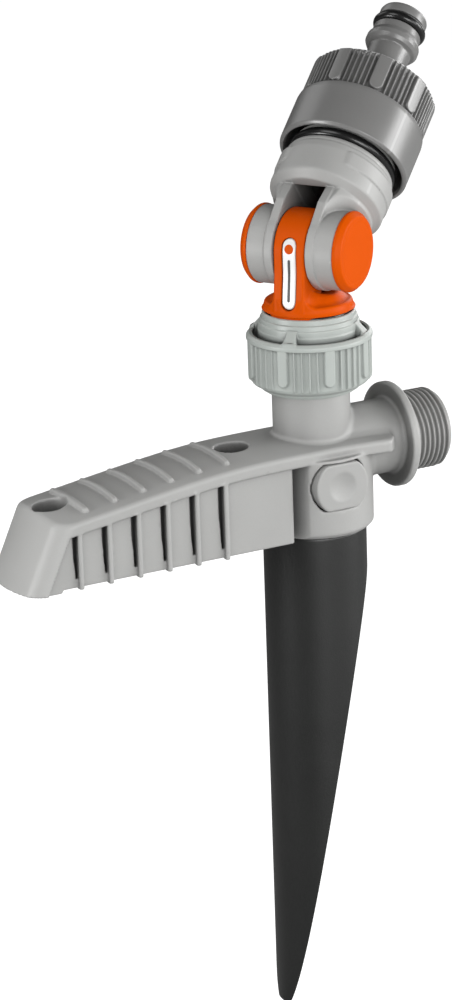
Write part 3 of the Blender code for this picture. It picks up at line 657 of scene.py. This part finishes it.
def make_locks():
    for side, name in ((-1, "front"), (1, "rear")):
        face = Matrix.Translation((0, 0, BUTTON_Z * MM)) @ half_turn(side) @ ALONG_Y
        disc = net(f"lock_button_{name}_body", lock_button, (-10.4, -9.0, 11.0), (10.4, 11.9, 20.8), 0.28)
        settle(disc, face, GREY, f"button_{name}", [f"lock_button_{name}"])
        spring = coil(f"lock_spring_{name}_coil", SPRING_R, SPRING_WIRE, SPRING_SEAT + SPRING_WIRE,
                      SPRING_SEAT + SPRING_LONG - SPRING_WIRE, SPRING_TURNS)
        settle(spring, face, STEEL, "stand", [f"lock_spring_{name}"])
        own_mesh(spring)


# Union nut ------------------------------------------------------------------------------------------

NUT_BAR, NUT_BRIDGE = -100.5, -139.0      # degrees to a bar and to a bridge of the trough
NUT_BARS, NUT_R = 8, 20.0


def union_grip(theta, r, z):
    """The union nut's bars, the ribs between them, and the bridges over its trough."""
    floor, crest = 19.25, 20.3
    from_bar = around(theta, NUT_BAR, NUT_BARS) * NUT_R
    from_gap = around(theta, NUT_BAR + 180.0 / NUT_BARS, NUT_BARS)
    grip = (r > 18.9) & (z > 48.6) & (z < 63.7)
    # Four ribs between two bars, sharp at their lower ends.
    ribs = np.zeros_like(r)
    for at in (-11.0, -3.7, 3.7, 11.0):
        ribs = np.maximum(ribs, bump((from_gap - math.radians(at)) * NUT_R, 0.30, 0.6))
    ribs = ribs * ramp(49.0, 50.4, z)
    # A bar's lower end is a half round.
    low = np.maximum(52.8 - z, 0)
    bar = bump(np.sqrt(from_bar ** 2 + low ** 2), 1.75, 0.4)
    rise = np.maximum(0.85 * ribs, (crest - floor) * bar)
    r = np.where(grip, np.maximum(r, np.minimum(r, floor) + rise), r)
    # Four bridges fill the trough up to the cone.
    bridge = bump(around(theta, NUT_BRIDGE, 4) * 18.2, 2.1, 0.9)
    line = 65.9 + (19.2 - np.minimum(r, 19.2)) * 1.05
    trough = (r > 15.9) & (z > 61.0) & (z < 68.8) & (r < 19.9)
    z = np.where(trough, z + bridge * np.maximum(line - z, 0), z)
    return r, z


def make_union_nut():
    outline = [(14.7, 72.2, 0.3), (15.1, 71.9, 0.25), (15.2, 70.5, 0.2), (15.75, 70.2, 0.25), (15.9, 68.9, 0.2),
               (16.3, 68.6, 0.3), (16.4, 66.9, 0.3), (16.6, 66.4, 0.3), (16.6, 61.8, 0.3), (18.1, 61.8, 0.3),
               (18.3, 65.2, 0.3), (19.4, 65.3, 0.5), (20.4, 64.4, 0.7), (20.4, 63.1, 0.4), (19.3, 62.7, 0.3),
               (19.25, 49.8, 0.5), (18.8, 48.9, 0.7), (16.4, 47.5, 0.4), (16.1, 46.9, 0.2), (15.3, 46.75, 0.2),
               (15.0, 46.1, 0.3), (14.0, 46.0, 0.2), (13.7, 47.4, 0), (13.6, 63.4, 0), (10.8, 63.4, 0),
               (10.8, 69.9, 0), (14.2, 69.9, 0), (14.2, 72.2, 0.3)]
    profile = dense(rounded(outline, True, 5), 0.34)
    settle(lathe("union_nut_body", profile, 560, union_grip), WORLD, LIGHT, "union_nut",
           ["union_nut"])


# Swivel base ----------------------------------------------------------------------------------------

TONGUE_HALF, TONGUE_R = 5.65, 12.6
BADGE_HALF, BADGE_LOW, BADGE_HIGH = 2.6, 74.9, 98.2


def tongue_side(x, z):
    """The tongue seen along the pivot: round at the top, and a little deeper towards its foot."""
    over = np.sqrt(x * x + (z - PIVOT_Z) ** 2) - TONGUE_R
    below = np.abs(x) - (TONGUE_R + 1.1 * ramp(-88.0, -75.0, -z))
    return np.where(z > PIVOT_Z, over, below)


def slot_outline(y, z):
    """The long round-ended slot of the badge."""
    middle = np.clip(z, BADGE_LOW + BADGE_HALF, BADGE_HIGH - BADGE_HALF)
    return np.sqrt(y * y + (z - middle) ** 2) - BADGE_HALF


def swivel_base(x, y, z):
    """The orange flange and the tongue that stands on it."""
    r = np.sqrt(x * x + y * y)
    flange = round_max(r - 14.3, np.abs(z - 74.3) - 1.6, 1.1)
    hub = round_max((r - 12.9 + (z - 75.4)) * 0.7071, z - 79.0, 0.8)
    flange = round_min(flange, np.maximum(hub, 73.0 - z), 0.8)
    side = tongue_side(x, z)
    tongue = round_max(side, np.abs(y) - TONGUE_HALF, 0.9)
    tongue = np.maximum(tongue, 73.0 - z)
    body = np.maximum(round_min(flange, tongue, 3.2), r - 14.3)
    body = np.minimum(body, round_min(flange, tongue, 0.2))
    drum = np.sqrt(x * x + (z - PIVOT_Z) ** 2) - 14.1
    body = carve(body, np.maximum(drum, TONGUE_HALF + 0.02 - np.abs(y)), 0.4)
    slot = np.maximum(np.maximum(slot_outline(y, z), -(side + 1.2)), -x)
    body = carve(body, slot, 0.3)
    body = np.maximum(body, -(np.sqrt(x * x + (z - PIVOT_Z) ** 2) - 7.05))
    return np.maximum(body, -np.maximum(r - 5.6, z - 88.0))


def badge(x, y, z):
    """The white insert in the tongue's slot."""
    face = round_max(slot_outline(y, z) + 0.28, tongue_side(x, z) + 0.22, 0.35)
    return np.maximum(np.maximum(face, -(tongue_side(x, z) + 1.15)), -x)


def on_badge(x, z, mark):
    """A mark that stands a little proud of the badge."""
    side = tongue_side(x, z)
    return np.maximum(np.maximum(mark, np.maximum(side + 0.12, -(side + 0.6))), -x)


def badge_disc(x, y, z):
    return on_badge(x, z, np.sqrt(y * y + (z - 94.6) ** 2) - 1.55)


def badge_bar(x, y, z):
    return on_badge(x, z, np.sqrt(y * y + (z - np.clip(z, 78.0, 90.8)) ** 2) - 0.45)


def make_swivel():
    body = net("swivel_base_body", swivel_base, (-15.6, -15.6, 72.0), (15.6, 15.6, 106.2), 0.3)
    settle(thin(body, 150000), BASE, ORANGE, "swivel", ["swivel_base"])
    tail = rounded([(12.0, 74.0, 0), (12.0, 72.6, 0), (10.4, 72.4, 0), (10.4, 62.9, 0.2), (12.9, 62.9, 0.3),
                    (12.9, 60.2, 0.3), (5.6, 60.2, 0.3), (5.6, 74.0, 0)], True)
    settle(lathe("swivel_tail", tail, 120), BASE, ORANGE, "swivel", ["swivel_base"])
    insert = net("badge_body", badge, (10.0, -3.2, 74.0), (15.6, 3.2, 99.2), 0.16)
    settle(insert, BASE, WHITE, "swivel", ["badge_insert"])
    disc = net("badge_disc", badge_disc, (8.0, -2.2, 92.5), (14.5, 2.2, 96.7), 0.12)
    settle(disc, BASE, ORANGE, "swivel", ["badge_insert"])
    bar = net("badge_bar", badge_bar, (10.0, -1.0, 77.0), (15.0, 1.0, 91.8), 0.12)
    settle(bar, BASE, BLACK, "swivel", ["badge_insert"])
    seal = rounded([(13.7, 72.5, 0.3), (13.9, 71.6, 0.3), (13.7, 70.3, 0.3), (10.8, 70.3, 0), (10.8, 72.5, 0)], True)
    settle(lathe("dust_seal_body", seal, 160), BASE, RUBBER, "swivel", ["swivel_dust_seal"])


# Head -----------------------------------------------------------------------------------------------

EAR_INNER, EAR_OUTER, HUB_END = 5.95, 8.9, 15.4
EAR_R, HUB_R, CAP_R = 13.2, 12.7, 13.0
PIN_HOLE_R, NECK_BORE = 7.05, 7.5


def clevis(x, y, z):
    """The head's body, with its two ears and drums."""
    ax, ay = np.abs(x), np.abs(y)
    r = np.sqrt(x * x + y * y)
    around_pin = np.sqrt(x * x + z * z)
    # The round body: a bright chamfer at its lower end, and steps towards the seal.
    wide = np.interp(z, [14.9, 15.2, 17.3, 18.0, 27.0, 29.4, 29.6, 30.0, 30.2, 31.6],
                     [16.5, 16.8, 18.9, 19.1, 18.9, 18.5, 18.15, 18.15, 18.3, 17.8])
    body = round_max(round_max((r - wide) * 0.9, z - 31.6, 0.4), 15.0 - z, 0.35)
    strip = round_max(round_max(r - 19.4, np.abs(z - 25.0) - 2.6, 0.15), ax - 16.2, 0.9)
    body = round_min(body, np.maximum(strip, 17.8 - r), 0.1)
    # Ears: nearly straight up to the body, each with a web that fills out to the body's side.
    reach = np.interp(z, [0.0, 3.0, 8.0, 15.0], [EAR_R, EAR_R + 0.5, EAR_R + 1.3, EAR_R + 0.2])
    flare = np.maximum((ax - reach) * 0.86, np.maximum(-z, z - 16.0))
    ear = np.minimum(around_pin - EAR_R, flare)
    plate = round_max(ear, np.abs(ay - (EAR_INNER + EAR_OUTER) / 2) - (EAR_OUTER - EAR_INNER) / 2, 0.3)
    full = np.sqrt(np.maximum(17.3 ** 2 - x * x, (EAR_OUTER - 0.2) ** 2))
    grow = np.clip((z - 2.5) / 12.1, 0, 1) ** 1.5
    web = (ay - (EAR_OUTER - 0.2) - (full - EAR_OUTER + 0.2) * grow) * 0.7
    web = np.maximum(np.maximum(web, (ax - reach + 0.5) * 0.86), np.maximum(EAR_INNER - ay, z - 16.5))
    web = np.maximum(np.maximum(web, r - np.maximum(wide, 16.9) + 0.1), -z)
    body = round_min(body, plate, 0.2)
    body = round_min(body, web, 0.3)
    drum = round_max(around_pin - HUB_R, ay - HUB_END, 0.35)
    drum = np.maximum(drum, 8.0 - ay)
    body = round_min(body, drum, 0.3)
    body = carve(body, np.maximum(around_pin - 9.2, 13.4 - ay), 0.2)
    body = np.maximum(body, -np.maximum(around_pin - PIN_HOLE_R, 5.0 - ay))
    room = np.maximum(np.maximum(ay - 5.7, np.maximum(x - 12.6, -12.0 - x)), np.maximum(14.0 - z, z - 24.0))
    body = carve(body, room, 0.25)
    return np.maximum(body, -np.maximum(r - NECK_BORE, 22.0 - z))


def make_head():
    body = net("clevis_body", clevis, (-20.4, -20.4, -14.0), (20.4, 20.4, 32.4), 0.4)
    settle(thin(body, 190000), HEAD, GREY, "head", ["clevis"])
    neck = threaded("neck_thread", [(THREAD_CORE, 53.0, 0.5), (THREAD_CORE, 40.2, 0.3), (14.4, 39.6, 0.3),
                                    (14.4, 37.0, 0.3), (17.0, 36.8, 0.3), (17.0, 35.7, 0.2), (15.2, 35.4, 0.2),
                                    (15.2, 31.2, 0), (NECK_BORE, 31.2, 0), (NECK_BORE, 53.0, 0.3)], 41.0, 52.6)
    settle(neck, HEAD, GREY, "head", ["clevis"])
    for side, name in ((1, "front"), (-1, "rear")):
        outline = [(0, 18.0, 0), (9.6, 18.0, 0.8), (10.4, 18.12, 0.5), (11.5, 18.05, 0.9), (CAP_R, 16.4, 1.3),
                   (CAP_R, 15.45, 0.2), (8.9, 15.4, 0), (8.9, 14.95, 0), (0, 14.95, 0)]
        cap = lathe(f"pivot_cap_{name}_body", dense(rounded(outline, points=6), 0.8, closed=False), 150)
        close_axis(cap)
        place = HEAD @ half_turn(side) @ ALONG_Y
        settle(cap, place, ORANGE, "head", [f"pivot_cap_{name}"])
    ring = torus("neck_o_ring_body", 16.5, 1.75, 33.5)
    settle(ring, HEAD, RUBBER, "head", ["neck_o_ring"])


# Tap nut and nipple ---------------------------------------------------------------------------------

TAP_BAR = 31.5                            # degrees to the middle of a bar
TAP_BARS, TAP_R = 9, 20.5


def tap_grip(theta, r, z):
    """The tap nut's bars, and the ribs between them."""
    floor = 19.85
    grip = (r > 18.4) & (z > 50.4)
    from_bar = around(theta, TAP_BAR, TAP_BARS) * TAP_R
    from_gap = around(theta, TAP_BAR + 180.0 / TAP_BARS, TAP_BARS)
    ribs = np.zeros_like(r)
    for at in (-10.0, -5.0, 0.0, 5.0, 10.0):
        ribs = np.maximum(ribs, bump((from_gap - math.radians(at)) * TAP_R, 0.32, 0.6))
    low = np.maximum(54.0 - z, 0)
    bar = bump(np.sqrt(from_bar ** 2 + low ** 2), 2.35, 0.4)
    rise = np.maximum(ribs, 1.3 * bar) * ramp(51.0, 51.5, z) * ramp(-65.6, -64.2, -z)
    return np.where(grip, np.maximum(r, np.minimum(r, floor) + rise), r), z


def make_tap():
    outline = [(18.3, 66.0, 0.6), (19.4, 65.6, 0.5), (20.3, 64.4, 0.8), (19.9, 63.3, 0.7), (19.85, 51.6, 0.9),
               (21.6, 50.8, 0.6), (21.8, 49.4, 0.8), (21.8, 34.3, 0.6), (21.0, 33.6, 0.35), (20.4, 33.6, 0.3),
               (19.9, 34.6, 0.3), (19.9, 48.4, 0.5), (13.6, 49.0, 0.3), (13.6, 58.4, 0),
               (9.3, 58.4, 0), (9.3, 66.0, 0.3)]
    profile = dense(rounded(outline, True, 6), 0.36)
    settle(lathe("tap_nut_body", profile, 560, tap_grip), HEAD, DARK, "tap_nut", ["tap_nut"])
    outline = [(6.3, 95.2, 0.4), (7.7, 94.9, 0.6), (8.1, 94.0, 0.4), (8.1, 91.5, 0.25), (6.0, 91.4, 0.1),
               (6.0, 87.8, 0.1), (8.1, 87.7, 0.25), (8.1, 85.2, 0.6), (9.0, 83.4, 0.6), (9.05, 81.7, 0.5),
               (8.3, 80.5, 0.6), (7.1, 79.7, 0.8), (6.95, 73.5, 3.0), (7.7, 67.2, 2.0), (8.9, 65.6, 0.5),
               (8.9, 58.1, 0), (12.8, 58.1, 0), (12.8, 55.0, 0), (4.6, 55.0, 0), (4.6, 94.6, 0.3), (5.2, 95.2, 0.3)]
    settle(lathe("hose_nipple_body", dense(rounded(outline, True, 6), 1.5), 160), HEAD, DARK, "nipple",
           ["hose_nipple"])
    ring = torus("nipple_o_ring_body", 7.3, 1.7, 89.6, 0.95)
    settle(ring, HEAD, RUBBER, "nipple", ["nipple_o_ring"])


# Stage ----------------------------------------------------------------------------------------------


def make_floor():
    """A white floor that stays evenly white to the camera and adds nothing to the light on the object."""
    mesh = bpy.data.meshes.new("floor")
    far = 6.0                             # metres to each edge
    mesh.from_pydata([(-far, -far, 0), (far, -far, 0), (far, far, 0), (-far, far, 0)], [], [(0, 1, 2, 3)])
    floor = bpy.data.objects.new("floor", mesh)
    floor.location.z = CAD_BOX[0][2] - 0.001
    bpy.context.scene.collection.objects.link(floor)
    made = bpy.data.materials.new("floor_white")
    made.use_nodes = True
    tree = made.node_tree
    shader = tree.nodes["Principled BSDF"]
    shader.inputs["Base Color"].default_value = (0.30, 0.30, 0.30, 1)
    shader.inputs["Roughness"].default_value = 0.9
    shader.inputs["Specular IOR Level"].default_value = 0.1
    shader.inputs["Emission Color"].default_value = (1, 1, 1, 1)
    ray = tree.nodes.new("ShaderNodeLightPath")
    link(tree, ray, "Is Camera Ray", shader, "Emission Strength")
    mesh.materials.append(made)


def lamp(name, place, target, size, power):
    """A square lamp that the camera doesn't see."""
    light = bpy.data.lights.new(name, "AREA")
    light.shape = "RECTANGLE"
    light.size = size
    light.size_y = size
    light.energy = power
    made = bpy.data.objects.new(name, light)
    made.location = place
    aim = Vector(target) - Vector(place)
    made.rotation_euler = aim.to_track_quat("-Z", "Y").to_euler()
    made.visible_camera = False
    bpy.context.scene.collection.objects.link(made)


def make_camera():
    """The photograph's angle: 27.5 degrees round, 18 degrees up, rolled by 2 degrees."""
    round_, up, roll = math.radians(-27.5), math.radians(18.0), math.radians(2.0)
    right = Vector((math.cos(round_), math.sin(round_), 0))
    back = Vector((math.sin(round_) * math.cos(up), -math.cos(round_) * math.cos(up), math.sin(up)))
    over = back.cross(right)
    turned_right = right * math.cos(roll) - over * math.sin(roll)
    turned_up = right * math.sin(roll) + over * math.cos(roll)
    distance, aside, above = 1.250, 0.02889, -0.00719
    centre = back * distance - turned_right * aside - turned_up * above
    camera = bpy.data.objects.new("camera", bpy.data.cameras.new("camera"))
    matrix = Matrix.Identity(4)
    for row in range(3):
        matrix[row][0], matrix[row][1], matrix[row][2], matrix[row][3] = (
            turned_right[row], turned_up[row], back[row], centre[row])
    camera.matrix_world = matrix
    camera.data.sensor_width = 36.0
    camera.data.lens = 137.7
    camera.data.clip_start = 0.05
    camera.data.clip_end = 50.0
    bpy.context.scene.collection.objects.link(camera)
    bpy.context.scene.camera = camera
    return right, back


def make_lights(right, back):
    """Soft boxes a metre away, at degrees round from the camera's side and degrees up."""
    middle = Vector((0, 0, 0.01))
    up = Vector((0, 0, 1))
    front = (back - up * back.z).normalized()

    def softbox(name, round_, high, size, power):
        a, e = math.radians(round_), math.radians(high)
        place = middle + (front * math.cos(a) + right * math.sin(a)) * math.cos(e) + up * math.sin(e)
        lamp(name, place, middle, size, power)

    softbox("front", 14, 12, 0.5, 5.6)
    softbox("right_front", 50, 12, 0.45, 2.8)
    softbox("right", 88, 12, 0.5, 7.4)
    softbox("left_high", -50, 45, 0.5, 2.9)
    softbox("left_back", -130, 35, 0.6, 1.3)
    softbox("right_back", 150, 20, 0.6, 3.4)
    toe = Vector((-0.1, 0, 0.015))
    lamp("toe_left", toe - right * 0.30 + front * 0.16 + up * 0.04, toe, 0.12, 0.80)
    world = bpy.data.worlds.new("studio")
    world.use_nodes = True
    tree = world.node_tree
    background = tree.nodes["Background"]
    background.inputs["Color"].default_value = (1, 1, 1, 1)
    ray = tree.nodes.new("ShaderNodeLightPath")
    strength = tree.nodes.new("ShaderNodeMapRange")
    strength.inputs["To Min"].default_value = 0.03
    strength.inputs["To Max"].default_value = 1.0
    link(tree, ray, "Is Camera Ray", strength, "Value")
    link(tree, strength, "Result", background, "Strength")
    bpy.context.scene.world = world
    bpy.context.scene.view_settings.view_transform = "Standard"


make_stand()
make_spike()
make_locks()
make_union_nut()
make_swivel()
make_head()
make_tap()
make_floor()
make_lights(*make_camera())
